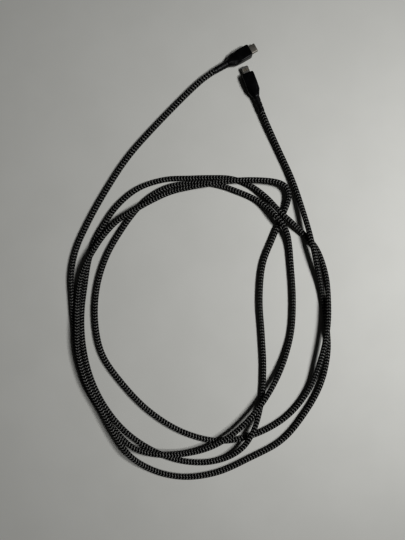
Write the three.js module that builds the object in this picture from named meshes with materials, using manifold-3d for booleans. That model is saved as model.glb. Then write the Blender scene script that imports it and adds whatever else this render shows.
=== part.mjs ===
// A braided charging cable lying in loose loops, with a flat plug at each end.
// Millimetres, +Z up. The origin is the middle of the cable's outline, on the table.
import * as THREE from 'three';
import { mergeVertices } from 'three/addons/utils/BufferGeometryUtils.js';
import Module from 'manifold-3d';

const wasm = await Module();
wasm.setup();

// The cord
const CORD_DIAMETER = 5;
const CORD_SIDES = 10;

// Both plugs share one casing; each is modelled along +X from its mouth to its cord.
const PLUG_LENGTH = 45.7;
const AXIS_HEIGHT = 3.3;
const MOUTH_GAP = 0.2;
const CASING = { width: 11.5, height: 6.6, corner: 2, straightEnd: 25.2, end: 30.9, rearWidth: 6.4 };
const CHAMFER = { across: 1.4, down: 1.1 };
const CAVITY = { width: 9.5, height: 4.4, wall: 1, rearBore: 2.75, boreStart: 25.4 };
const SLEEVE = { start: 31.2, frontRadius: 3.1, rearRadius: 2.75, bore: 2.2 };
const SLOT = { first: 33.2, pitch: 2.4, width: 1.1, floor: 2.45, count: 5 };
const CAN = { width: 8.95, height: 3.8, wall: 0.2, gap: 1.2, end: 19 };
const MOULD = { start: 19.4, end: 24.6, width: 8.4, height: 3.6 };
const WIRE_WAY = { reach: 3, low: -0.8, high: 1.4 };
const BOARD = { end: 17.5, thickness: 0.48 };
const CHIP_HEIGHT = 0.6;
const INNER_CABLE = { start: 26.2, end: 45.4, radius: 2 };
const CRIMP = { start: 26.6, end: 30.2, bore: 2.15, radius: 2.45 };
const WIRE = { start: 25.9, fan: 22.5, spread: 19, landing: 17.3, end: 15.6, level: 0.36 };
const WIRES = [
  { name: 'power_wire', radius: 0.45, from: -1.35, to: -2.2, color: 0xa3211c },
  { name: 'data_wire_white', radius: 0.3, from: -0.42, to: -0.75, color: 0xd8d5cb },
  { name: 'data_wire_green', radius: 0.3, from: 0.42, to: 0.75, color: 0x2c7a3c },
  { name: 'ground_wire', radius: 0.45, from: 1.35, to: 2.2, color: 0x1b1b1c },
];

// The type-C plug: an oval metal shell round a slotted contact housing
const SHELL = { exposed: 6.4, length: 10, width: 8.25, height: 2.4, wall: 0.25, corner: 1.15 };
const HOUSING = { start: 0.5, end: 9.6, width: 7.45, height: 1.6, slotWidth: 6.7, slotHeight: 1.2 };
const PINS = { count: 12, pitch: 0.5, width: 0.26, start: 1.2, end: 10.8, low: 0.36, high: 0.48 };
const PIN_STRIP = { start: 7.6, end: 8 };
const LATCH = { start: 1, end: 8.4, reach: 3.2, width: 0.25, bar: 0.4, thickness: 0.24 };

// The tongue plug: a flat metal frame with eight pads let into each face
const TONGUE = { exposed: 7.3, width: 6.7, thickness: 1.5, corner: 1.5, edge: 0.3 };
const SHOULDER = { start: 8.6, end: 12.2, width: 8, height: 2.2, channel: 1.5 };
const WINDOW = { start: 1.3, end: 4.6, width: 5.5 };
const CHANNEL = { width: 5.3, height: 1 };
const DETENT = { at: 3.6, radius: 0.5, depth: 0.3 };
const PADS = { count: 8, pitch: 0.64, width: 0.4, start: 1.9, end: 4, low: 0.22, high: 0.68 };
const TAILS = { step: 8.7, end: 11, thickness: 0.12, low: 0.36 };
const PAD_STRIP = { start: 6.2, end: 6.6, reach: 2.4 };
const CORE = { gap: 0.15, thickness: 1.24, web: 0.2, padGap: 0.07, webEnd: 8.2 };

// Where each plug's mouth lies, and the way its axis runs from the mouth to the cord
const TYPE_C_PLACE = { x: 53.4, y: 203, heading: Math.PI * 7 / 6 };
const TONGUE_PLACE = { x: 42.5, y: 184.7, heading: -1.198 };

// The cord's centreline, from the type-C plug to the tongue plug
const ROUTE = [
  [13.6, 180, 3.3], [1, 171, 2.8], [-46.5, 123.5, 2.5], [-68.5, 98, 2.5], [-88.5, 67.5, 2.5],
  [-104.5, 39, 2.5], [-117, 11, 2.5], [-121.5, -12.5, 2.5], [-120.5, -36.5, 2.5],
  [-118.5, -63, 2.5], [-116, -88.5, 2.5], [-108, -116, 2.5], [-94, -140.5, 2.5],
  [-77.5, -163, 2.5], [-60.5, -176, 5.6], [-36.5, -180.5, 8.3], [-12.5, -180.5, 5.6],
  [11, -173.5, 7.4], [32.5, -160.5, 7.8], [50, -143.5, 7.9], [63.5, -125.5, 7.8],
  [77.5, -100, 4.6], [87, -68.5, 2.5], [89, -36.5, 2.5], [87, -3, 2.5], [85, 18, 3.4],
  [82.3, 28, 5.6], [77.2, 36.3, 7.6], [71.6, 43, 7.5], [61.5, 53.4, 4.3], [51, 60.5, 2.5],
  [37, 66.4, 2.5], [23.5, 71.2, 2.5], [8, 74.3, 2.5], [-9, 74.1, 2.5], [-26.5, 72, 2.5],
  [-44, 63.5, 2.5], [-58.5, 50.5, 2.5], [-73.5, 30.5, 2.5], [-88, 5, 2.5], [-97, -25, 2.5],
  [-98.5, -57, 2.5], [-92, -87.5, 2.5], [-72.5, -116, 2.5], [-47, -142, 2.5],
  [-15.5, -161.5, 2.5], [18.5, -170, 2.5], [52, -164, 2.5], [83, -146.5, 2.5],
  [103.5, -121, 3.4], [114.5, -89.5, 7], [120, -61, 8], [120.8, -36, 7.2], [119.5, -11.5, 3.2],
  [110.5, 13.5, 2.5], [95.5, 29.5, 3.4], [84.5, 38.8, 6.9], [78, 44.2, 7.9], [71.2, 51.5, 7.1],
  [63.5, 60.5, 4.8], [48, 72.5, 2.6], [30, 78.9, 2.5], [11, 79.7, 2.5], [-9, 79.2, 2.5],
  [-32.5, 78, 2.5], [-58, 69.5, 2.5], [-77.5, 53.5, 2.5], [-90.5, 35, 2.5], [-99.5, 18.5, 2.5],
  [-105, 0.5, 2.5], [-108.5, -22, 2.5], [-111.5, -47.5, 2.5], [-110.5, -77, 2.5],
  [-103.5, -108.5, 2.5], [-89.5, -137.5, 2.5], [-68.5, -162.5, 2.5], [-39, -181.5, 2.5],
  [-9, -190, 2.5], [18.5, -188, 2.8], [39.5, -175.5, 6.7], [50.5, -158.5, 8.1],
  [58.5, -135, 2.5], [61, -102.5, 2.5], [59.5, -68.5, 2.5], [57.5, -35.5, 2.5], [60.5, -2, 2.5],
  [69, 20.5, 2.5], [77.5, 40.5, 2.5], [81.5, 50, 3.2], [84.2, 58.5, 4.3], [84.6, 64.5, 5],
  [82.6, 69.4, 5.7], [78.7, 72.8, 6.3], [73.8, 74.4, 6.9], [68.5, 75.5, 7.3], [49, 76.5, 7.8],
  [28.5, 75.5, 7.9], [8, 72.6, 7.5], [-10.5, 69.7, 5.7], [-27.5, 65.4, 5.4], [-44, 57.5, 7.4],
  [-61, 48, 7.7], [-77.5, 38, 6], [-90, 24.5, 6.4], [-98.5, 11.5, 7.7], [-105, 0, 7.8],
  [-110, -11, 6.9], [-114, -29.5, 5.4], [-114.5, -55.5, 7.4], [-113.5, -84.5, 7.6],
  [-105, -114.5, 7.6], [-91.5, -139, 7.6], [-78, -163, 8.1], [-65.5, -181.5, 7.2],
  [-46.5, -196.5, 2.5], [-16.5, -204, 2.5], [16, -200, 2.5], [48, -186, 2.5], [78.5, -169, 2.5],
  [100, -143.5, 2.5], [115.5, -115, 2.5], [122, -83.5, 2.5], [120, -54.5, 2.5],
  [115.5, -25, 2.8], [109.5, 0.5, 6.6], [103.5, 24.5, 8.4], [97, 49, 5.8], [88, 77.5, 3.2],
  [74.5, 107.5, 2.8], [64, 130.5, 3.3], [59.2, 141.9, 3.3],
];

const MATERIALS = {
  braid: { color: 0x161617, roughness: 0.85, metalness: 0 },
  casing: { color: 0x0b0b0c, roughness: 0.35, metalness: 0 },
  sleeve: { color: 0x111112, roughness: 0.55, metalness: 0 },
  steel: { color: 0x8b8780, roughness: 0.35, metalness: 1 },
  tin: { color: 0xa9aaac, roughness: 0.45, metalness: 1 },
  gold: { color: 0xc79a4a, roughness: 0.3, metalness: 1 },
  board: { color: 0x14502e, roughness: 0.5, metalness: 0 },
  chip: { color: 0x18181a, roughness: 0.6, metalness: 0 },
  mould: { color: 0xbdb9ae, roughness: 0.6, metalness: 0 },
  jacket: { color: 0x202022, roughness: 0.6, metalness: 0 },
};

// A closed three.js geometry as a manifold solid, for cutting and joining
function toSolid(geometry) {
  const bare = geometry.clone();
  bare.deleteAttribute('normal');
  bare.deleteAttribute('uv');
  const merged = mergeVertices(bare, 1e-4);
  const vertProperties = new Float32Array(merged.attributes.position.array);
  const triVerts = new Uint32Array(merged.index.array);
  return new wasm.Manifold(new wasm.Mesh({ numProp: 3, vertProperties, triVerts }));
}

function toGeometry(solid) {
  const { vertProperties, triVerts } = solid.getMesh();
  const geometry = new THREE.BufferGeometry();
  geometry.setAttribute('position', new THREE.BufferAttribute(vertProperties, 3));
  geometry.setIndex(new THREE.BufferAttribute(triVerts, 1));
  geometry.computeVertexNormals();
  return geometry;
}

function join(geometries) {
  let whole = toSolid(geometries[0]);
  for (const geometry of geometries.slice(1)) {
    whole = whole.add(toSolid(geometry));
  }
  return toGeometry(whole);
}

function cut(geometry, tools) {
  let left = toSolid(geometry);
  for (const tool of tools) {
    left = left.subtract(toSolid(tool));
  }
  return toGeometry(left);
}

function block(x0, x1, y0, y1, z0, z1) {
  const geometry = new THREE.BoxGeometry(x1 - x0, y1 - y0, z1 - z0);
  return geometry.translate((x0 + x1) / 2, (y0 + y1) / 2, (z0 + z1) / 2);
}

// A block centred on the plug's axis
function bar(x0, x1, width, height) {
  return block(x0, x1, -width / 2, width / 2, -height / 2, height / 2);
}

function rod(x0, x1, radius, sides = 24) {
  const geometry = new THREE.CylinderGeometry(radius, radius, x1 - x0, sides);
  return geometry.rotateZ(-Math.PI / 2).translate((x0 + x1) / 2, 0, 0);
}

function roundedRectangle(width, height, corner) {
  const [w, h] = [width / 2, height / 2];
  const shape = new THREE.Shape();
  shape.moveTo(-w + corner, -h);
  shape.lineTo(w - corner, -h);
  shape.absarc(w - corner, -h + corner, corner, -Math.PI / 2, 0);
  shape.lineTo(w, h - corner);
  shape.absarc(w - corner, h - corner, corner, 0, Math.PI / 2);
  shape.lineTo(-w + corner, h);
  shape.absarc(-w + corner, h - corner, corner, Math.PI / 2, Math.PI);
  shape.lineTo(-w, -h + corner);
  shape.absarc(-w + corner, -h + corner, corner, Math.PI, Math.PI * 3 / 2);
  return shape;
}

// A shape drawn across the plug, Y to the side and Z up, drawn out from x0 to x1
function drawnAlong(shape, x0, x1) {
  const settings = { depth: x1 - x0, bevelEnabled: false, curveSegments: 5 };
  const geometry = new THREE.ExtrudeGeometry(shape, settings);
  const across = new THREE.Vector3(0, 1, 0);
  const up = new THREE.Vector3(0, 0, 1);
  const along = new THREE.Vector3(1, 0, 0);
  geometry.applyMatrix4(new THREE.Matrix4().makeBasis(across, up, along));
  return geometry.translate(x0, 0, 0);
}

// A shape drawn in plan, with a chamfer round its top and bottom edges
function chamferedPlate(shape, thickness, across, down) {
  const depth = thickness - 2 * down;
  const geometry = new THREE.ExtrudeGeometry(shape, {
    depth,
    bevelEnabled: true,
    bevelThickness: down,
    bevelSize: across,
    bevelOffset: -across,
    bevelSegments: 1,
    curveSegments: 5,
  });
  return geometry.translate(0, 0, -depth / 2);
}

// A plan outline: a front edge with two rounded corners, straight sides, and a rear edge
function platePlan(front, sideEnd, rear, width, rearWidth, corner) {
  const half = width / 2;
  const shape = new THREE.Shape();
  shape.moveTo(front, half - corner);
  shape.lineTo(front, -half + corner);
  shape.absarc(front + corner, -half + corner, corner, Math.PI, Math.PI * 3 / 2);
  shape.lineTo(sideEnd, -half);
  shape.lineTo(rear, -rearWidth / 2);
  shape.lineTo(rear, rearWidth / 2);
  shape.lineTo(sideEnd, half);
  shape.absarc(front + corner, half - corner, corner, Math.PI / 2, Math.PI);
  return shape;
}

function piece(name, geometry, look) {
  const mesh = new THREE.Mesh(geometry, new THREE.MeshStandardMaterial(look));
  mesh.name = name;
  return mesh;
}

// The outer casing: faceted, hollow, with the plug's mouth in front and the cord's bore behind
function casing(exposed, mouth) {
  const plan = platePlan(
    exposed, CASING.straightEnd, CASING.end, CASING.width, CASING.rearWidth, CASING.corner);
  const outside = chamferedPlate(plan, CASING.height, CHAMFER.across, CHAMFER.down);
  const cavity = bar(exposed + CAVITY.wall, CAVITY.boreStart, CAVITY.width, CAVITY.height);
  const bore = rod(CAVITY.boreStart - 0.5, CASING.end + 1, CAVITY.rearBore);
  return cut(outside, [cavity, bore, mouth]);
}

// The strain relief: a tapered tube with grooves cut by turns from above and from the sides
function strainRelief() {
  const length = PLUG_LENGTH - SLEEVE.start;
  const profile = [
    new THREE.Vector2(SLEEVE.bore, 0),
    new THREE.Vector2(SLEEVE.frontRadius, 0),
    new THREE.Vector2(SLEEVE.rearRadius, length),
    new THREE.Vector2(SLEEVE.bore, length),
    new THREE.Vector2(SLEEVE.bore, 0),
  ];
  const tube = new THREE.LatheGeometry(profile, 24);
  tube.rotateZ(-Math.PI / 2).translate(SLEEVE.start, 0, 0);
  const grooves = [];
  const reach = SLEEVE.frontRadius + 1;
  for (let i = 0; i < SLOT.count; i += 1) {
    const x0 = SLOT.first + i * SLOT.pitch;
    for (const side of [-1, 1]) {
      const near = side > 0 ? SLOT.floor : -reach;
      const far = side > 0 ? reach : -SLOT.floor;
      const above = block(x0, x0 + SLOT.width, -reach, reach, near, far);
      const beside = block(x0, x0 + SLOT.width, near, far, -reach, reach);
      grooves.push(i % 2 === 0 ? above : beside);
    }
  }
  return cut(tube, grooves);
}

function shieldCan(exposed) {
  const start = exposed + CAN.gap;
  const inside = bar(start - 1, CAN.end + 1, CAN.width - 2 * CAN.wall, CAN.height - 2 * CAN.wall);
  return cut(bar(start, CAN.end, CAN.width, CAN.height), [inside]);
}

function innerMould() {
  const { reach, low, high } = WIRE_WAY;
  const wireWay = block(MOULD.start - 1, MOULD.end + 1, -reach, reach, low, high);
  return cut(bar(MOULD.start, MOULD.end, MOULD.width, MOULD.height), [wireWay]);
}

function crimpRing() {
  const ring = rod(CRIMP.start, CRIMP.end, CRIMP.radius);
  return cut(ring, [rod(CRIMP.start - 1, CRIMP.end + 1, CRIMP.bore)]);
}

// A wire fans out from the inner cable's cut face to its pad at the rear of the board
function wire({ radius, from, to }) {
  const level = WIRE.level + radius;
  const way = new THREE.CatmullRomCurve3([
    new THREE.Vector3(WIRE.start, from, 0),
    new THREE.Vector3(WIRE.fan, from, 0),
    new THREE.Vector3(WIRE.spread, to, level),
    new THREE.Vector3(WIRE.landing, to, level),
    new THREE.Vector3(WIRE.end, to, level),
  ]);
  const settings = { steps: 14, bevelEnabled: false, extrudePath: way };
  return new THREE.ExtrudeGeometry(roundSection(radius, 8), settings);
}

function roundSection(radius, sides) {
  const points = [];
  for (let i = 0; i < sides; i += 1) {
    const turn = (2 * Math.PI * i) / sides;
    points.push(new THREE.Vector2(radius * Math.cos(turn), radius * Math.sin(turn)));
  }
  return new THREE.Shape(points);
}

// The pieces that both plugs have behind their mouths
function plugBody(prefix, exposed, mouth, board, chip) {
  const group = new THREE.Group();
  const half = BOARD.thickness / 2;
  group.add(
    piece(`${prefix}_casing`, casing(exposed, mouth), MATERIALS.casing),
    piece(`${prefix}_strain_relief`, strainRelief(), MATERIALS.sleeve),
    piece(`${prefix}_shield_can`, shieldCan(exposed), MATERIALS.tin),
    piece(`${prefix}_inner_mould`, innerMould(), MATERIALS.mould),
    piece(`${prefix}_crimp_ring`, crimpRing(), MATERIALS.tin),
    piece(`${prefix}_inner_cable`,
      rod(INNER_CABLE.start, INNER_CABLE.end, INNER_CABLE.radius), MATERIALS.jacket),
    piece(`${prefix}_circuit_board`,
      block(board.start, BOARD.end, -board.reach, board.reach, -half, half), MATERIALS.board),
    piece(`${prefix}_control_chip`,
      block(chip.start, chip.end, -chip.reach, chip.reach, WIRE.level, WIRE.level + CHIP_HEIGHT),
      MATERIALS.chip),
  );
  for (const lead of WIRES) {
    const look = { color: lead.color, roughness: 0.5, metalness: 0 };
    group.add(piece(`${prefix}_${lead.name}`, wire(lead), look));
  }
  return group;
}

// One row of contact fingers, held together by a carrier strip; side is 1 above, -1 below
function typeCContacts(side) {
  const reach = (PINS.count - 1) * PINS.pitch / 2;
  const [z0, z1] = side > 0 ? [PINS.low, PINS.high] : [-PINS.high, -PINS.low];
  const parts = [block(PIN_STRIP.start, PIN_STRIP.end, -reach, reach, z0, z1)];
  for (let i = 0; i < PINS.count; i += 1) {
    const y = i * PINS.pitch - reach;
    parts.push(block(PINS.start, PINS.end, y - PINS.width / 2, y + PINS.width / 2, z0, z1));
  }
  return join(parts);
}

function typeCLatch() {
  const half = LATCH.thickness / 2;
  const inner = LATCH.reach - LATCH.width;
  return join([
    block(LATCH.start, LATCH.end, inner, LATCH.reach, -half, half),
    block(LATCH.start, LATCH.end, -LATCH.reach, -inner, -half, half),
    block(LATCH.end - LATCH.bar, LATCH.end, -LATCH.reach, LATCH.reach, -half, half),
  ]);
}

function typeCPlug() {
  const shell = roundedRectangle(SHELL.width, SHELL.height, SHELL.corner);
  const shellInside = roundedRectangle(
    SHELL.width - 2 * SHELL.wall, SHELL.height - 2 * SHELL.wall, SHELL.corner - SHELL.wall);
  shell.holes.push(shellInside);
  const housing = roundedRectangle(HOUSING.width, HOUSING.height, HOUSING.height / 2 - 0.05);
  const slot = bar(
    HOUSING.start - 1, HOUSING.end + 1, HOUSING.slotWidth, HOUSING.slotHeight);
  const mouthShape = roundedRectangle(
    SHELL.width + 2 * MOUTH_GAP, SHELL.height + 2 * MOUTH_GAP, SHELL.corner + MOUTH_GAP);
  const mouth = drawnAlong(mouthShape, SHELL.exposed - 1, SHELL.exposed + 2);
  const board = { start: 9, reach: 3.1 };
  const chip = { start: 12, end: 14.8, reach: 1.3 };
  const plug = plugBody('type_c_plug', SHELL.exposed, mouth, board, chip);
  plug.add(
    piece('type_c_plug_metal_shell', drawnAlong(shell, 0, SHELL.length), MATERIALS.steel),
    piece('type_c_plug_contact_housing',
      cut(drawnAlong(housing, HOUSING.start, HOUSING.end), [slot]), MATERIALS.chip),
    piece('type_c_plug_upper_contacts', typeCContacts(1), MATERIALS.gold),
    piece('type_c_plug_lower_contacts', typeCContacts(-1), MATERIALS.gold),
    piece('type_c_plug_latch_spring', typeCLatch(), MATERIALS.steel),
  );
  return plug;
}

// The tongue's metal frame: a flat blade with a window through it and a wider shoulder behind
function tongueFrame() {
  const plan = platePlan(
    0, SHOULDER.start, SHOULDER.start + 1, TONGUE.width, TONGUE.width, TONGUE.corner);
  const blade = chamferedPlate(plan, TONGUE.thickness, TONGUE.edge, TONGUE.edge);
  const shoulder = bar(SHOULDER.start, SHOULDER.end, SHOULDER.width, SHOULDER.height);
  const window = bar(WINDOW.start, WINDOW.end, WINDOW.width, TONGUE.thickness + 1);
  const channel = bar(WINDOW.end - 0.5, SHOULDER.end + 1, CHANNEL.width, CHANNEL.height);
  const rear = bar(SHOULDER.start - 0.2, SHOULDER.end + 1, CHANNEL.width, SHOULDER.channel);
  const tools = [window, channel, rear];
  for (const side of [-1, 1]) {
    const detent = new THREE.CylinderGeometry(DETENT.radius, DETENT.radius, 4, 16);
    const away = TONGUE.width / 2 + DETENT.radius - DETENT.depth;
    tools.push(detent.rotateX(Math.PI / 2).translate(DETENT.at, side * away, 0));
  }
  return cut(join([blade, shoulder]), tools);
}

function padPlaces() {
  const places = [];
  for (let i = 0; i < PADS.count; i += 1) {
    places.push((i - (PADS.count - 1) / 2) * PADS.pitch);
  }
  return places;
}

// The plastic core inside the frame, pocketed round every pad
function tongueCarrier() {
  const { gap, padGap } = CORE;
  const face = bar(
    WINDOW.start + gap, WINDOW.end - gap, WINDOW.width - 2 * gap, CORE.thickness);
  const web = bar(WINDOW.end - 0.5, CORE.webEnd, CHANNEL.width - 2 * gap, CORE.web);
  const pockets = [];
  for (const y of padPlaces()) {
    const reach = PADS.width / 2 + padGap;
    const start = PADS.start - 0.1;
    pockets.push(
      block(start, WINDOW.end, y - reach, y + reach, CORE.web / 2, 1),
      block(start, WINDOW.end, y - reach, y + reach, -1, -CORE.web / 2),
    );
  }
  return cut(join([face, web]), pockets);
}

// One row of pads, their leads to the board and the strip that ties them; side as above
function tongueContacts(side) {
  const { start, end, reach } = PAD_STRIP;
  const parts = [block(start, end, -reach, reach, PADS.low, PADS.low + TAILS.thickness)];
  for (const y of padPlaces()) {
    const [y0, y1] = [y - PADS.width / 2, y + PADS.width / 2];
    const leadTop = PADS.low + TAILS.thickness;
    const tailTop = TAILS.low + TAILS.thickness;
    parts.push(
      block(PADS.start, PADS.end, y0, y1, PADS.low, PADS.high),
      block(PADS.end - 0.1, TAILS.step + 0.2, y0, y1, PADS.low, leadTop),
      block(TAILS.step, TAILS.step + 0.2, y0, y1, PADS.low, tailTop),
      block(TAILS.step, TAILS.end, y0, y1, TAILS.low, tailTop),
    );
  }
  const row = join(parts);
  return side > 0 ? row : row.rotateX(Math.PI);
}

function tonguePlug() {
  const mouthShape = roundedRectangle(
    TONGUE.width + 2 * MOUTH_GAP, TONGUE.thickness + 2 * MOUTH_GAP, TONGUE.edge + MOUTH_GAP);
  const mouth = drawnAlong(mouthShape, TONGUE.exposed - 1, TONGUE.exposed + 2);
  const board = { start: 9.3, reach: 2.5 };
  const chip = { start: 12.6, end: 14.8, reach: 1 };
  const plug = plugBody('tongue_plug', TONGUE.exposed, mouth, board, chip);
  plug.add(
    piece('tongue_plug_metal_frame', tongueFrame(), MATERIALS.steel),
    piece('tongue_plug_contact_carrier', tongueCarrier(), MATERIALS.chip),
    piece('tongue_plug_upper_contacts', tongueContacts(1), MATERIALS.gold),
    piece('tongue_plug_lower_contacts', tongueContacts(-1), MATERIALS.gold),
  );
  return plug;
}

// A spline whose equal steps fall on its own points, which stand closer where it bends more
class Route extends THREE.CatmullRomCurve3 {
  getPointAt(u, target) {
    return this.getPoint(u, target);
  }

  getTangentAt(u, target) {
    return this.getTangent(u, target);
  }
}

function braidedCord() {
  const route = new Route(ROUTE.map(([x, y, z]) => new THREE.Vector3(x, y, z)));
  const settings = { steps: ROUTE.length - 1, bevelEnabled: false, extrudePath: route };
  const section = roundSection(CORD_DIAMETER / 2, CORD_SIDES);
  return piece('braided_cord', new THREE.ExtrudeGeometry(section, settings), MATERIALS.braid);
}

function place(plug, { x, y, heading }) {
  plug.position.set(x, y, AXIS_HEIGHT);
  plug.rotation.z = heading;
  return plug;
}

const cable = new THREE.Group();
cable.add(
  place(typeCPlug(), TYPE_C_PLACE),
  place(tonguePlug(), TONGUE_PLACE),
  braidedCord(),
);

export default cable;
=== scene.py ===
import math

import bpy
from mathutils import Matrix, Vector


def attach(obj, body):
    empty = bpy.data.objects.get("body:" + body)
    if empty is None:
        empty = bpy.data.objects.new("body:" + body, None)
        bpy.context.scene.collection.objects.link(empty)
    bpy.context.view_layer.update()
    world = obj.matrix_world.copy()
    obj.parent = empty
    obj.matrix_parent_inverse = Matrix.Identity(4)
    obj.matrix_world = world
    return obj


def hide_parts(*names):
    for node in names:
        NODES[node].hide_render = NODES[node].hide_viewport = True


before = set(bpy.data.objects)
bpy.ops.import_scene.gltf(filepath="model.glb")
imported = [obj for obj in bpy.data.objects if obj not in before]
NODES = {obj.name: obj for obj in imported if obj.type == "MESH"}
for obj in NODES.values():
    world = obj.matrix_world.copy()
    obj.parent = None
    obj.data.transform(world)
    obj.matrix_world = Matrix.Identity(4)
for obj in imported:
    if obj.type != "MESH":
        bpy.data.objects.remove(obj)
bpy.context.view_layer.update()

# A black braided charging cable in loose loops, with a type-C plug and a tongue plug.
# Lengths named here are millimetres, as in the CAD model, and MM turns them into metres.
MM = 0.001

# The camera looks straight down on the table
CAMERA = {"x": 3.0, "y": -7.8, "height": 375.0, "view_height": 515.7, "sensor": 36.0}

# The lights, in metres, both from the right, and how bright the room is
KEY_LIGHT = {"location": (0.42, 0.01, 0.53), "target": (0.05, 0, 0), "power": 8.8,
             "radius": 0.065, "cone": math.radians(105)}
ROOM_LIGHT = {"location": (0.45, 0.01, 0.58), "target": (0, 0, 0), "power": 0.75,
              "angle": math.radians(9)}
ROOM = {"colour": (1.0, 0.99, 0.96, 1), "lit": 0.015, "seen": 0.3}
FLOOR_SIDE = 3.0

# The cord
CORD_DIAMETER = 5.0
CORD_SIDES = 20
RING_STEP = 1.0
EASE_PASSES = 16
BRAID = {"pitch": 2.8, "columns": 8, "lean": 0.45, "threads": 10, "grey": (0.4, 0.4, 0.385)}

# The plugs, each along +X from its mouth to its cord, with both casings alike
PLUG_LENGTH = 45.7
AXIS_HEIGHT = 3.3
TYPE_C = {"x": 53.4, "y": 203.0, "heading": math.pi * 7 / 6, "exposed": 6.4}
TONGUE = {"x": 42.5, "y": 184.7, "heading": -1.198, "exposed": 7.3}
SHELL = {"length": 10.0, "width": 8.25, "height": 2.4, "wall": 0.25}
SLEEVE = {"start": 31.2, "front": 3.1, "rear": 2.75, "bore": 2.2, "floor": 2.45}
SLOT = {"first": 33.2, "pitch": 2.4, "width": 1.3, "count": 5}

# The cord's centreline, from the type-C plug to the tongue plug
ROUTE = [
    (13.6, 180, 3.3), (1, 171, 2.8), (-46.5, 123.5, 2.5), (-68.5, 98, 2.5), (-88.5, 67.5, 2.5),
    (-104.5, 39, 2.5), (-117, 11, 2.5), (-121.5, -12.5, 2.5), (-120.5, -36.5, 2.5),
    (-118.5, -63, 2.5), (-116, -88.5, 2.5), (-108, -116, 2.5), (-94, -140.5, 2.5),
    (-77.5, -163, 2.5), (-60.5, -176, 5.6), (-36.5, -180.5, 8.3), (-12.5, -180.5, 5.6),
    (11, -173.5, 7.4), (32.5, -160.5, 7.8), (50, -143.5, 7.9), (63.5, -125.5, 7.8),
    (77.5, -100, 4.6), (87, -68.5, 2.5), (89, -36.5, 2.5), (87, -3, 2.5), (85, 18, 3.4),
    (82.3, 28, 5.6), (77.2, 36.3, 7.6), (71.6, 43, 7.5), (61.5, 53.4, 4.3), (51, 60.5, 2.5),
    (37, 66.4, 2.5), (23.5, 71.2, 2.5), (8, 74.3, 2.5), (-9, 74.1, 2.5), (-26.5, 72, 2.5),
    (-44, 63.5, 2.5), (-58.5, 50.5, 2.5), (-73.5, 30.5, 2.5), (-88, 5, 2.5), (-97, -25, 2.5),
    (-98.5, -57, 2.5), (-92, -87.5, 2.5), (-72.5, -116, 2.5), (-47, -142, 2.5),
    (-15.5, -161.5, 2.5), (18.5, -170, 2.5), (52, -164, 2.5), (83, -146.5, 2.5),
    (103.5, -121, 3.4), (114.5, -89.5, 7), (120, -61, 8), (120.8, -36, 7.2), (119.5, -11.5, 3.2),
    (110.5, 13.5, 2.5), (95.5, 29.5, 3.4), (84.5, 38.8, 6.9), (78, 44.2, 7.9), (71.2, 51.5, 7.1),
    (63.5, 60.5, 4.8), (48, 72.5, 2.6), (30, 78.9, 2.5), (11, 79.7, 2.5), (-9, 79.2, 2.5),
    (-32.5, 78, 2.5), (-58, 69.5, 2.5), (-77.5, 53.5, 2.5), (-90.5, 35, 2.5), (-99.5, 18.5, 2.5),
    (-105, 0.5, 2.5), (-108.5, -22, 2.5), (-111.5, -47.5, 2.5), (-110.5, -77, 2.5),
    (-103.5, -108.5, 2.5), (-89.5, -137.5, 2.5), (-68.5, -162.5, 2.5), (-39, -181.5, 2.5),
    (-9, -190, 2.5), (18.5, -188, 2.8), (39.5, -175.5, 6.7), (50.5, -158.5, 8.1),
    (58.5, -135, 2.5), (61, -102.5, 2.5), (59.5, -68.5, 2.5), (57.5, -35.5, 2.5), (60.5, -2, 2.5),
    (69, 20.5, 2.5), (77.5, 40.5, 2.5), (81.5, 50, 3.2), (84.2, 58.5, 4.3), (84.6, 64.5, 5),
    (82.6, 69.4, 5.7), (78.7, 72.8, 6.3), (73.8, 74.4, 6.9), (68.5, 75.5, 7.3), (49, 76.5, 7.8),
    (28.5, 75.5, 7.9), (8, 72.6, 7.5), (-10.5, 69.7, 5.7), (-27.5, 65.4, 5.4), (-44, 57.5, 7.4),
    (-61, 48, 7.7), (-77.5, 38, 6), (-90, 24.5, 6.4), (-98.5, 11.5, 7.7), (-105, 0, 7.8),
    (-110, -11, 6.9), (-114, -29.5, 5.4), (-114.5, -55.5, 7.4), (-113.5, -84.5, 7.6),
    (-105, -114.5, 7.6), (-91.5, -139, 7.6), (-78, -163, 8.1), (-65.5, -181.5, 7.2),
    (-46.5, -196.5, 2.5), (-16.5, -204, 2.5), (16, -200, 2.5), (48, -186, 2.5), (78.5, -169, 2.5),
    (100, -143.5, 2.5), (115.5, -115, 2.5), (122, -83.5, 2.5), (120, -54.5, 2.5),
    (115.5, -25, 2.8), (109.5, 0.5, 6.6), (103.5, 24.5, 8.4), (97, 49, 5.8), (88, 77.5, 3.2),
    (74.5, 107.5, 2.8), (64, 130.5, 3.3), (59.2, 141.9, 3.3),
]


# ---------------------------------------------------------------- camera

def make_camera():
    data = bpy.data.cameras.new("camera")
    data.sensor_width = CAMERA["sensor"]
    data.lens = CAMERA["sensor"] * CAMERA["height"] / CAMERA["view_height"]
    camera = bpy.data.objects.new("camera", data)
    camera.location = Vector((CAMERA["x"], CAMERA["y"], CAMERA["height"])) * MM
    bpy.context.scene.collection.objects.link(camera)
    bpy.context.scene.camera = camera


# ---------------------------------------------------------------- mesh helpers

def add_piece(name, vertices, faces, material, crease=math.radians(35)):
    """A smooth-shaded mesh object in the row frame; edges sharper than crease stay sharp."""
    mesh = bpy.data.meshes.new(name)
    mesh.from_pydata([tuple(v) for v in vertices], [], faces)
    mesh.validate()
    mesh.update()
    mesh.shade_smooth()
    mesh.set_sharp_from_angle(angle=crease)
    mesh.materials.append(material)
    made = bpy.data.objects.new(name, mesh)
    bpy.context.scene.collection.objects.link(made)
    return made


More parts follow.
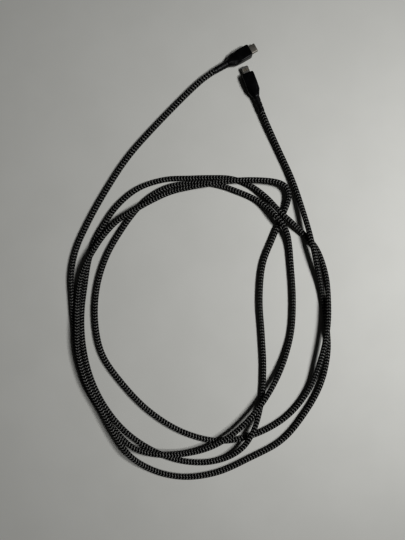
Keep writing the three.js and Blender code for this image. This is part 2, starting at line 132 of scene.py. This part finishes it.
def loft(rings, joined=False):
    """Vertices and faces through rings of equal size. Joined rings close on themselves."""
    count = len(rings[0])
    vertices = [point for ring in rings for point in ring]
    faces = []
    spans = len(rings) if joined else len(rings) - 1
    for i in range(spans):
        near = i * count
        far = (i + 1) % len(rings) * count
        for j in range(count):
            k = (j + 1) % count
            faces.append((near + j, far + j, far + k, near + k))
    if not joined:
        faces.append(tuple(range(count)))
        last = (len(rings) - 1) * count
        faces.append(tuple(last + j for j in reversed(range(count))))
    return vertices, faces


def plug_matrix(plug):
    """From a plug's own millimetres to the row frame's metres."""
    place = Matrix.Translation(Vector((plug["x"], plug["y"], AXIS_HEIGHT)) * MM)
    return place @ Matrix.Rotation(plug["heading"], 4, "Z") @ Matrix.Scale(MM, 4)


def add_plug_piece(name, plug, rings, material, crease=math.radians(35)):
    """A hollow piece: its rings run back along the outside and forward along the inside."""
    matrix = plug_matrix(plug)
    vertices, faces = loft(rings, joined=True)
    return add_piece(name, [matrix @ v for v in vertices], faces, material, crease)


# ---------------------------------------------------------------- the cord's line

def spline(points, per_span=24):
    """A centripetal Catmull-Rom curve, as the CAD model's, through the points."""
    points = [Vector(p) for p in points]
    first = points[0] * 2 - points[1]
    last = points[-1] * 2 - points[-2]
    padded = [first] + points + [last]
    line = []
    for p0, p1, p2, p3 in zip(padded, padded[1:], padded[2:], padded[3:]):
        d0 = max((p1 - p0).length, 1e-4) ** 0.5
        d1 = max((p2 - p1).length, 1e-4) ** 0.5
        d2 = max((p3 - p2).length, 1e-4) ** 0.5
        m1 = ((p1 - p0) / d0 - (p2 - p0) / (d0 + d1) + (p2 - p1) / d1) * d1
        m2 = ((p2 - p1) / d1 - (p3 - p1) / (d1 + d2) + (p3 - p2) / d2) * d1
        for k in range(per_span):
            t = k / per_span
            a = p1 + m1 * t
            b = (p2 - p1) * 3 - m1 * 2 - m2
            c = (p1 - p2) * 2 + m1 + m2
            line.append(a + b * t * t + c * t ** 3)
    line.append(points[-1])
    return line


def evenly(line, step):
    """The same line in equal steps of about that length."""
    total = sum((b - a).length for a, b in zip(line, line[1:]))
    count = round(total / step)
    wanted = total / count
    out = [line[0]]
    travelled = 0.0
    for a, b in zip(line, line[1:]):
        span = (b - a).length
        while travelled + span >= wanted * len(out) and len(out) < count:
            out.append(a.lerp(b, (wanted * len(out) - travelled) / span))
        travelled += span
    out.append(line[-1])
    return out


def eased(line, passes):
    """The line with the small changes of bend at its control points evened out."""
    for _ in range(passes):
        middle = [p * 0.5 + (a + b) * 0.25 for a, p, b in zip(line, line[1:], line[2:])]
        line = [line[0]] + middle + [line[-1]]
    return line


def carried_frames(line):
    """For each point, two directions across the line that never twist round it."""
    frames = []
    side = Vector((0, 0, 1))
    for i, here in enumerate(line):
        before = line[max(i - 1, 0)]
        after = line[min(i + 1, len(line) - 1)]
        along = (after - before).normalized()
        side = (side - along * side.dot(along)).normalized()
        frames.append((side, along.cross(side)))
    return frames


def make_cord(material):
    line = eased(evenly(spline(ROUTE), RING_STEP), EASE_PASSES)
    radius = CORD_DIAMETER / 2
    line = [Vector((p.x, p.y, max(p.z, radius))) for p in line]
    rings = []
    for here, (side, other) in zip(line, carried_frames(line)):
        ring = []
        for j in range(CORD_SIDES):
            turn = 2 * math.pi * j / CORD_SIDES
            out = side * math.cos(turn) + other * math.sin(turn)
            ring.append((here + out * radius) * MM)
        rings.append(ring)
    vertices, faces = loft(rings)
    cord = add_piece("cord_braid", vertices, faces, material, crease=math.radians(60))
    lay_braid_map(cord.data, len(rings))
    return cord, [p * MM for p in line]


def lay_braid_map(mesh, ring_count):
    """A map of the cord's skin: u counts braid repeats along it, v goes once round it."""
    layer = mesh.uv_layers.new(name="braid")
    for face in mesh.polygons:
        columns = [mesh.loops[i].vertex_index % CORD_SIDES for i in face.loop_indices]
        wraps = 0 in columns and CORD_SIDES - 1 in columns
        for index, column in zip(face.loop_indices, columns):
            ring = mesh.loops[index].vertex_index // CORD_SIDES
            turn = CORD_SIDES if wraps and column == 0 else column
            layer.data[index].uv = (ring * RING_STEP / BRAID["pitch"], turn / CORD_SIDES)


# ---------------------------------------------------------------- plug shapes

def rounded_ring(x, corners, radius, steps=4):
    """A ring across the plug at x through corners (y, z), each rounded off."""
    ring = []
    count = len(corners)
    for i, (y, z) in enumerate(corners):
        here = Vector((x, y, z))
        before = Vector((x, *corners[i - 1])) - here
        after = Vector((x, *corners[(i + 1) % count])) - here
        start = here + before.normalized() * min(radius, before.length * 0.45)
        end = here + after.normalized() * min(radius, after.length * 0.45)
        for k in range(steps):
            t = k / (steps - 1)
            ring.append(start * (1 - t) ** 2 + here * 2 * t * (1 - t) + end * t * t)
    return ring


def faceted_ring(x, half_width, top_half, half_height, side_half, radius=0.45):
    """An eight-sided section: flat top and bottom, flat sides, and a facet between them."""
    a, t, b, s = half_width, top_half, half_height, side_half
    corners = [(a, -s), (a, s), (t, b), (-t, b), (-a, s), (-a, -s), (-t, -b), (t, -b)]
    return rounded_ring(x, corners, radius)


def casing_rings(exposed, mouth):
    """Outside from the mouth to the rear, then inside back to the mouth."""
    outside = [
        (exposed, 4.1, 3.8, 2.45, 1.9),
        (exposed + 0.12, 4.65, 4.3, 2.85, 2.2),
        (exposed + 0.5, 5.2, 4.85, 3.12, 2.4),
        (exposed + 1.1, 5.55, 5.2, 3.26, 2.5),
        (exposed + 2, 5.75, 5.35, 3.3, 2.5),
        (exposed + 8, 5.75, 5.35, 3.3, 2.5),
        (18.4, 5.75, 5.35, 3.3, 2.5),
        (19.0, 5.75, 5.1, 3.3, 2.4),
        (22.4, 5.75, 3.2, 3.3, 1.8),
        (24.6, 5.7, 2.2, 3.3, 1.65),
        (25.2, 5.5, 1.95, 3.3, 1.62),
        (27.5, 4.5, 1.15, 3.25, 1.35),
        (30.2, 3.4, 1.2, 3.15, 1.25),
        (30.7, 3.15, 1.15, 3.05, 1.2),
        (30.9, 2.95, 1.1, 2.95, 1.15),
    ]
    inside = [
        (30.9, 2.72, 1.13, 2.72, 1.13),
        (25.6, 2.72, 1.13, 2.72, 1.13),
        (25.3, 4.75, 4.5, 2.2, 1.95),
        (exposed + 1.05, 4.75, 4.5, 2.2, 1.95),
        (exposed + 1.0, *mouth),
        (exposed, *mouth),
    ]
    return [faceted_ring(*section) for section in outside + inside]


def round_ring(x, radius, count=48):
    ring = []
    for j in range(count):
        turn = 2 * math.pi * j / count
        ring.append(Vector((x, radius * math.cos(turn), radius * math.sin(turn))))
    return ring


def sleeve_radius(x):
    """The strain relief's outside, tapering from the casing to the cord."""
    along = (x - SLEEVE["start"]) / (PLUG_LENGTH - SLEEVE["start"])
    return SLEEVE["front"] + (SLEEVE["rear"] - SLEEVE["front"]) * along


def slotted_ring(x, sideways, depth):
    """A ring with a groove pressed into two opposite sides, by depth from 0 to 1."""
    ring = []
    outer = sleeve_radius(x)
    for point in round_ring(x, outer):
        reach = abs(point.y if sideways else point.z) / outer
        pressed = min(max((reach - 0.62) / 0.1, 0.0), 1.0) * depth
        radius = outer + (SLEEVE["floor"] - outer) * pressed
        ring.append(Vector((x, point.y * radius / outer, point.z * radius / outer)))
    return ring


def sleeve_rings():
    start, end = SLEEVE["start"], PLUG_LENGTH
    rings = [round_ring(start, 2.9), round_ring(start + 0.2, sleeve_radius(start) + 0.02)]
    for i in range(SLOT["count"]):
        x0 = SLOT["first"] + i * SLOT["pitch"]
        x1 = x0 + SLOT["width"]
        sideways = i % 2 == 1
        for x, depth in ((x0 - 0.1, 0), (x0, 0.15), (x0 + 0.12, 1), (x1 - 0.12, 1), (x1, 0.15),
                         (x1 + 0.1, 0)):
            rings.append(slotted_ring(x, sideways, depth))
    rings += [round_ring(end - 0.4, sleeve_radius(end)), round_ring(end - 0.08, 2.62)]
    rings += [round_ring(end, 2.45), round_ring(end, SLEEVE["bore"])]
    rings += [round_ring(start, SLEEVE["bore"])]
    return rings


def oval_ring(x, half_width, half_height, count=12):
    """A flat oval: straight top and bottom with half-round ends."""
    ring = []
    for side in (1, -1):
        for k in range(count):
            turn = side * math.pi / 2 - math.pi * k / (count - 1)
            y = side * (half_width - half_height) + half_height * math.cos(turn)
            ring.append(Vector((x, y, half_height * math.sin(turn))))
    return ring


def shell_rings():
    """The type-C plug's drawn shell, with its front edge rolled smooth."""
    a, b, wall = SHELL["width"] / 2, SHELL["height"] / 2, SHELL["wall"]
    lip = wall / 2
    outside = [(0, lip * 0.8), (0.04, lip * 0.4), (0.12, 0.08 * lip), (0.25, 0), (6.2, 0)]
    outside += [(SHELL["length"], 0)]
    inside = [(SHELL["length"], wall), (0.4, wall), (0.12, wall - 0.02), (0.03, wall - 0.07)]
    return [oval_ring(x, a - inset, b - inset) for x, inset in outside + inside]


# ---------------------------------------------------------------- materials

class Look:
    """One procedural material, built node by node."""

    def __init__(self, name, roughness=0.5, metallic=0.0, **sockets):
        self.material = bpy.data.materials.new(name)
        self.material.use_nodes = True
        self.tree = self.material.node_tree
        self.shader = self.tree.nodes["Principled BSDF"]
        self.shader.inputs["Roughness"].default_value = roughness
        self.shader.inputs["Metallic"].default_value = metallic
        for socket, value in sockets.items():
            self.shader.inputs[socket.replace("_", " ")].default_value = value

    def node(self, kind, **settings):
        made = self.tree.nodes.new(kind)
        for name, value in settings.items():
            setattr(made, name, value)
        return made

    def feed(self, socket, value):
        """Links an output, or sets a plain value."""
        if isinstance(value, bpy.types.NodeSocket):
            self.tree.links.new(value, socket)
        else:
            socket.default_value = value

    def math(self, operation, *values):
        made = self.node("ShaderNodeMath", operation=operation)
        for socket, value in zip(made.inputs, values):
            self.feed(socket, value)
        return made.outputs[0]

    def band(self, value, low, high):
        """0 below low, 1 above high, and a smooth step between."""
        made = self.node("ShaderNodeMapRange", interpolation_type="SMOOTHSTEP")
        self.feed(made.inputs["Value"], value)
        made.inputs["From Min"].default_value = low
        made.inputs["From Max"].default_value = high
        return made.outputs["Result"]

    def between(self, value, low, high):
        """A value from 0 to 1 spread out between low and high."""
        made = self.node("ShaderNodeMapRange")
        self.feed(made.inputs["Value"], value)
        made.inputs["To Min"].default_value = low
        made.inputs["To Max"].default_value = high
        return made.outputs["Result"]

    def mix(self, amount, first, second):
        made = self.node("ShaderNodeMix", data_type="RGBA")
        self.feed(made.inputs["Factor"], amount)
        self.feed(made.inputs["A"], (*first, 1) if isinstance(first, tuple) else first)
        self.feed(made.inputs["B"], (*second, 1) if isinstance(second, tuple) else second)
        return made.outputs["Result"]

    def noise(self, scale, detail=3.0):
        """Noise from 0 to 1 over the object."""
        place = self.node("ShaderNodeTexCoord").outputs["Object"]
        made = self.node("ShaderNodeTexNoise")
        self.feed(made.inputs["Vector"], place)
        made.inputs["Scale"].default_value = scale
        made.inputs["Detail"].default_value = detail
        return made.outputs["Fac"]

    def colour(self, value):
        self.feed(self.shader.inputs["Base Color"], value)

    def rough(self, value, low, high):
        self.feed(self.shader.inputs["Roughness"], self.between(value, low, high))

    def bump(self, height, depth):
        """Depth is in millimetres."""
        made = self.node("ShaderNodeBump")
        made.inputs["Strength"].default_value = 1.0
        made.inputs["Distance"].default_value = depth * MM
        self.feed(made.inputs["Height"], height)
        self.feed(self.shader.inputs["Normal"], made.outputs["Normal"])


def braid_look():
    """Chevrons round the cord: a grey-flecked bundle of yarn and a black one in each repeat, with
    painted shade in the tucks between bundles.
    """
    look = Look("braid", roughness=0.7, Specular_IOR_Level=0.05)
    parts = look.node("ShaderNodeSeparateXYZ")
    look.feed(parts.inputs[0], look.node("ShaderNodeUVMap", uv_map="braid").outputs[0])
    along, around = parts.outputs[0], parts.outputs[1]
    column = look.math("MULTIPLY", around, BRAID["columns"])
    across = look.math("FRACT", column)
    odd = look.math("FRACT", look.math("MULTIPLY", look.math("FLOOR", column), 0.5))
    mirrored = look.math("ABSOLUTE", look.math("SUBTRACT", look.math("MULTIPLY", odd, 2.0), across))
    phase = look.math("ADD", along, look.math("MULTIPLY", mirrored, BRAID["lean"]))
    repeat = look.math("FRACT", phase)
    swell = look.math("ABSOLUTE", look.math("SINE", look.math("MULTIPLY", phase, 2 * math.pi)))
    tuck = look.math("SINE", look.math("MULTIPLY", across, math.pi))
    threads = look.math(
        "SINE", look.math("MULTIPLY", phase, 2 * math.pi * BRAID["threads"]))
    body = look.math("MULTIPLY", look.math("POWER", swell, 0.7), look.math("POWER", tuck, 0.5))
    height = look.math("ADD", body, look.math("MULTIPLY", threads, 0.06))

    which = look.node("ShaderNodeCombineXYZ")
    look.feed(which.inputs[0], look.math("FLOOR", phase))
    look.feed(which.inputs[1], look.math("FLOOR", column))
    chance = look.node("ShaderNodeTexWhiteNoise")
    look.feed(chance.inputs["Vector"], which.outputs[0])
    grey = look.math("MULTIPLY", look.band(repeat, 0.05, 0.11), look.band(repeat, 0.38, 0.3))
    grey = look.math("MULTIPLY", grey, look.between(chance.outputs["Value"], 0.6, 1.0))
    grey = look.math("MULTIPLY", grey, look.between(threads, 0.8, 1.0))
    # The grey flecks fade out towards the column edges, where the bundles tuck under: painted
    # shade.
    grey = look.math("MULTIPLY", grey, look.band(tuck, 0.15, 0.6))
    grey = look.math("MULTIPLY", grey, look.between(look.noise(900.0), 0.6, 1.2))
    # The black yarn is painted darker where the braid dips between and along bundles: painted
    # shade.
    black_with_painted_tuck_shade = look.mix(body, (0.0003, 0.0003, 0.0004), (0.0012, 0.0012, 0.0014))
    look.colour(look.mix(grey, black_with_painted_tuck_shade, BRAID["grey"]))
    look.rough(body, 0.85, 0.55)
    look.bump(height, 0.4)
    return look.material


def moulded_look(name, dark, light, rough_low, rough_high, grain=0.012, gloss=0.4):
    """Moulded plastic or rubber: a fine spark-eroded grain, handling marks and pale edges."""
    look = Look(name, roughness=rough_low, Specular_IOR_Level=gloss)
    marks = look.noise(140.0, 5.0)
    fine = look.noise(4200.0, 2.0)
    edges = look.node("ShaderNodeNewGeometry").outputs["Pointiness"]
    worn = look.math("MULTIPLY", look.band(edges, 0.52, 0.62), look.band(marks, 0.35, 0.7))
    tone = look.mix(look.band(marks, 0.35, 0.75), dark, light)
    paler = tuple(min(c * 3.5 + 0.01, 1.0) for c in light)
    look.colour(look.mix(worn, tone, paler))
    look.rough(look.band(marks, 0.3, 0.75), rough_low, rough_high)
    look.bump(fine, grain)
    return look.material


def metal_look(name, dark, light, rough_low, rough_high, heading=0.0):
    """Plated metal with fine drawing lines along the plug and faint stains."""
    look = Look(name, roughness=rough_low, metallic=1.0)
    stains = look.noise(260.0, 4.0)
    place = look.node("ShaderNodeTexCoord").outputs["Object"]
    turned = look.node("ShaderNodeMapping", vector_type="POINT")
    look.feed(turned.inputs["Vector"], place)
    turned.inputs["Rotation"].default_value = (0, 0, -heading)
    turned.inputs["Scale"].default_value = (60, 2600, 2600)
    lines = look.node("ShaderNodeTexNoise")
    look.feed(lines.inputs["Vector"], turned.outputs["Vector"])
    lines.inputs["Scale"].default_value = 1.0
    lines.inputs["Detail"].default_value = 3.0
    streak = look.math("MULTIPLY", lines.outputs["Fac"], 0.5)
    tone = look.math("ADD", look.math("MULTIPLY", stains, 0.5), streak)
    look.colour(look.mix(look.band(tone, 0.3, 0.7), dark, light))
    look.rough(tone, rough_low, rough_high)
    look.bump(lines.outputs["Fac"], 0.006)
    return look.material


def board_look():
    """Green solder mask over copper tracks."""
    look = Look("board_laminate", roughness=0.35)
    tracks = look.node("ShaderNodeTexBrick", offset=0.5)
    look.feed(tracks.inputs["Vector"], look.node("ShaderNodeTexCoord").outputs["Object"])
    tracks.inputs["Scale"].default_value = 900.0
    tracks.inputs["Mortar Size"].default_value = 0.03
    tint = look.mix(look.noise(500.0), (0.012, 0.07, 0.03), (0.025, 0.12, 0.05))
    look.colour(look.mix(tracks.outputs["Fac"], tint, (0.05, 0.2, 0.08)))
    look.bump(tracks.outputs["Fac"], 0.02)
    return look.material


def floor_look():
    """A plain pale table top with a barely visible unevenness."""
    look = Look("pale_table", roughness=0.75)
    tone = look.noise(18.0, 6.0)
    look.colour(look.mix(look.band(tone, 0.3, 0.7), (0.63, 0.63, 0.60), (0.65, 0.65, 0.62)))
    look.bump(look.noise(900.0, 4.0), 0.02)
    return look.material


# ---------------------------------------------------------------- making

def dress(node, material):
    """Gives its finished material to a CAD node that keeps its shape."""
    mesh = NODES[node].data
    mesh.materials.clear()
    mesh.materials.append(material)


def make_plug(prefix, plug, mouth, casing_material, sleeve_material):
    casing = add_plug_piece(
        f"{prefix}_moulded_casing", plug, casing_rings(plug["exposed"], mouth), casing_material)
    sleeve = add_plug_piece(f"{prefix}_slotted_sleeve", plug, sleeve_rings(), sleeve_material)
    for made, node, slot in ((casing, "casing", "casing_plastic"),
                             (sleeve, "strain_relief", "sleeve_rubber")):
        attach(made, "root")
        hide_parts(f"{prefix}_{node}")
    return [casing, sleeve]


def make_type_c_shell(material):
    shell = add_plug_piece("type_c_plug_drawn_shell", TYPE_C, shell_rings(), material)
    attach(shell, "root")
    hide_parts("type_c_plug_metal_shell")


def add_light(name, kind, place, **settings):
    data = bpy.data.lights.new(name, kind)
    data.energy = place["power"]
    for setting, value in settings.items():
        setattr(data, setting, value)
    light = bpy.data.objects.new(name, data)
    light.location = place["location"]
    aim = Vector(place["target"]) - Vector(place["location"])
    light.rotation_euler = aim.to_track_quat("-Z", "Y").to_euler()
    bpy.context.scene.collection.objects.link(light)


def make_studio():
    side = FLOOR_SIDE
    corners = [(-side, -side, 0), (side, -side, 0), (side, side, 0), (-side, side, 0)]
    floor = add_piece("table_top", corners, [(0, 1, 2, 3)], floor_look())
    add_light("key_light", "SPOT", KEY_LIGHT, shadow_soft_size=KEY_LIGHT["radius"],
              spot_size=KEY_LIGHT["cone"], spot_blend=1.0)
    add_light("room_light", "SUN", ROOM_LIGHT, angle=ROOM_LIGHT["angle"])
    world = bpy.data.worlds.new("studio")
    world.use_nodes = True
    background = world.node_tree.nodes["Background"]
    background.inputs["Color"].default_value = ROOM["colour"]
    # The room looks pale behind the cable, but adds little light to it
    seen = world.node_tree.nodes.new("ShaderNodeLightPath").outputs["Is Camera Ray"]
    strength = world.node_tree.nodes.new("ShaderNodeMapRange")
    strength.inputs["To Min"].default_value = ROOM["lit"]
    strength.inputs["To Max"].default_value = ROOM["seen"]
    world.node_tree.links.new(seen, strength.inputs["Value"])
    world.node_tree.links.new(strength.outputs["Result"], background.inputs["Strength"])
    bpy.context.scene.world = world
    bpy.context.scene.view_settings.view_transform = "Standard"
    bpy.context.scene.view_settings.look = "Medium High Contrast"


make_camera()

cord, centreline = make_cord(braid_look())
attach(cord, "root")
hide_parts("braided_cord")

casing_black = moulded_look(
    "casing_plastic", (0.0015, 0.0015, 0.002), (0.003, 0.003, 0.0035), 0.26, 0.36, gloss=0.28)
sleeve_black = moulded_look(
    "sleeve_rubber", (0.003, 0.003, 0.0035), (0.006, 0.006, 0.0065), 0.4, 0.55, gloss=0.25)
make_plug("type_c_plug", TYPE_C, (4.35, 3.5, 1.42, 0.75), casing_black, sleeve_black)
far_pieces = make_plug(
    "tongue_plug", TONGUE, (3.55, 3.2, 0.95, 0.7), casing_black, sleeve_black)
shell_steel = metal_look(
    "type_c_steel", (0.17, 0.158, 0.14), (0.27, 0.255, 0.23), 0.5, 0.65, TYPE_C["heading"])
tongue_steel = metal_look(
    "tongue_steel", (0.22, 0.215, 0.2), (0.34, 0.33, 0.31), 0.4, 0.55, TONGUE["heading"])
make_type_c_shell(shell_steel)

tin = metal_look("tinned_steel", (0.4, 0.4, 0.41), (0.6, 0.6, 0.61), 0.35, 0.55)
gold = metal_look("gold_contacts", (0.3, 0.27, 0.21), (0.42, 0.38, 0.31), 0.45, 0.6)
NODE_LOOKS = {
    "shield_can": tin,
    "crimp_ring": tin,
    "latch_spring": shell_steel,
    "metal_frame": tongue_steel,
    "upper_contacts": gold,
    "lower_contacts": gold,
    "circuit_board": board_look(),
}
# Each plastic inner piece: its material, darkest and lightest tone, least and most roughness
PLASTICS = {
    "control_chip": ("chip_plastic", (0.01, 0.01, 0.011), (0.02, 0.02, 0.021), 0.5, 0.6),
    "contact_housing": (
        "insert_plastic", (0.007, 0.007, 0.008), (0.012, 0.012, 0.013), 0.4, 0.5),
    "contact_carrier": ("carrier_plastic", (0.1, 0.1, 0.1), (0.16, 0.16, 0.155), 0.4, 0.5),
    "inner_mould": (
        "inner_mould_plastic", (0.5, 0.48, 0.43), (0.6, 0.58, 0.53), 0.4, 0.55),
    "inner_cable": (
        "inner_jacket", (0.015, 0.015, 0.016), (0.024, 0.024, 0.026), 0.5, 0.6),
    "power_wire": ("red_wire", (0.36, 0.015, 0.01), (0.46, 0.025, 0.018), 0.3, 0.4),
    "data_wire_white": ("white_wire", (0.68, 0.67, 0.63), (0.78, 0.77, 0.73), 0.3, 0.4),
    "data_wire_green": ("green_wire", (0.02, 0.2, 0.05), (0.035, 0.27, 0.07), 0.3, 0.4),
    "ground_wire": ("black_wire", (0.01, 0.01, 0.011), (0.016, 0.016, 0.017), 0.3, 0.4),
}
for kind, settings in PLASTICS.items():
    NODE_LOOKS[kind] = moulded_look(*settings)
for node in NODES:
    kind = node.replace("type_c_plug_", "").replace("tongue_plug_", "")
    if kind in NODE_LOOKS:
        dress(node, NODE_LOOKS[kind])

make_studio()
